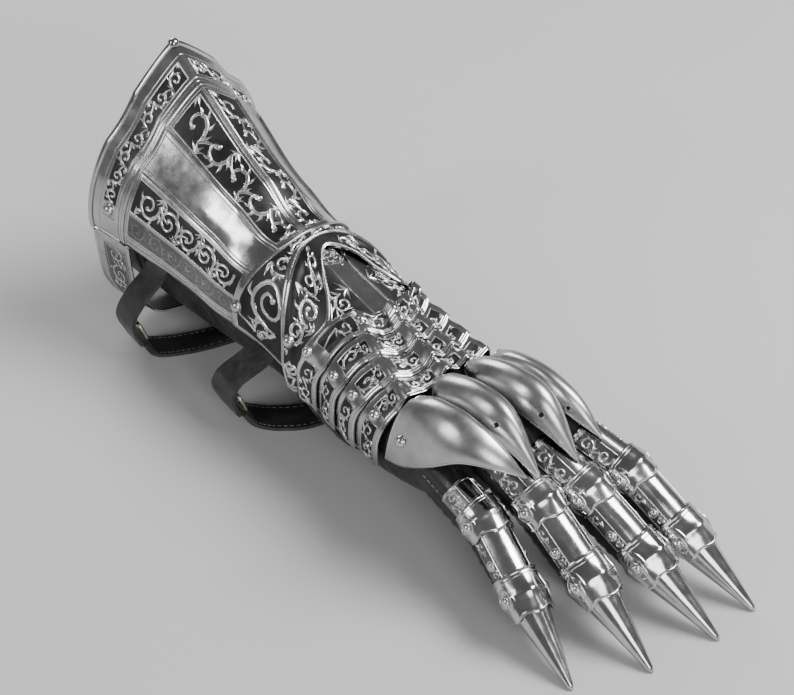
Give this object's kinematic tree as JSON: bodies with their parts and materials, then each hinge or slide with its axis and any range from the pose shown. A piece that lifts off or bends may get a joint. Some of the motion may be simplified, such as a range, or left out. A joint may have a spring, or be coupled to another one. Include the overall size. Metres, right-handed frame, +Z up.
{
  "type": "armoured gauntlet",
  "caption": "Right-hand plate gauntlet with flared cuff, lames, knuckle guards, clawed fingers, leather glove and buckled straps, lying palm down.",
  "frame": {"origin": "on the floor under the middle of the part's bounds", "axes": "+X along the fingers towards the claws, +Y towards the thumb side, +Z up from the floor, palm down"},
  "size_m": [0.4146, 0.1422, 0.179],
  "materials": {
    "polished_steel": "polished plate steel with light wear",
    "etched_steel": "dark etched ground with bright raised scrollwork",
    "black_leather": "smooth black leather",
    "pale_brass": "pale satin brass"
  },
  "bodies": {
    "root": {"cuff": "polished_steel", "cuff_collar": "etched_steel", "wrist_plate_1": "etched_steel", "wrist_plate_2": "etched_steel", "metacarpal_plate": "etched_steel", "hand_lame_1": "etched_steel", "hand_lame_2": "etched_steel", "hand_lame_3": "etched_steel", "hand_lame_4": "etched_steel", "knuckle_guard_pinky": "polished_steel", "knuckle_guard_ring": "polished_steel", "knuckle_guard_middle": "polished_steel", "knuckle_guard_index": "polished_steel", "lame_pinky": "etched_steel", "cop_1_pinky": "polished_steel", "tube_plate_pinky": "polished_steel", "cop_2_pinky": "polished_steel", "claw_pinky": "polished_steel", "glove_pinky": "black_leather", "lame_ring": "etched_steel", "cop_1_ring": "polished_steel", "tube_plate_ring": "polished_steel", "cop_2_ring": "polished_steel", "claw_ring": "polished_steel", "glove_ring": "black_leather", "lame_middle": "etched_steel", "cop_1_middle": "polished_steel", "tube_plate_middle": "polished_steel", "cop_2_middle": "polished_steel", "claw_middle": "polished_steel", "glove_middle": "black_leather", "lame_index": "etched_steel", "cop_1_index": "polished_steel", "tube_plate_index": "polished_steel", "cop_2_index": "polished_steel", "claw_index": "polished_steel", "glove_index": "black_leather", "lame_thumb": "etched_steel", "cop_1_thumb": "polished_steel", "tube_plate_thumb": "polished_steel", "cop_2_thumb": "polished_steel", "claw_thumb": "polished_steel", "glove_thumb": "black_leather", "glove_hand": "black_leather", "glove_sleeve": "black_leather", "palm_strap": "black_leather", "strap_billet_rear": "black_leather", "strap_loop_rear": "black_leather", "buckle_rear": "pale_brass", "strap_rivet_rear": "polished_steel", "strap_billet_front": "black_leather", "strap_loop_front": "black_leather", "buckle_front": "pale_brass", "strap_rivet_front": "polished_steel"}
  },
  "joints": []
}
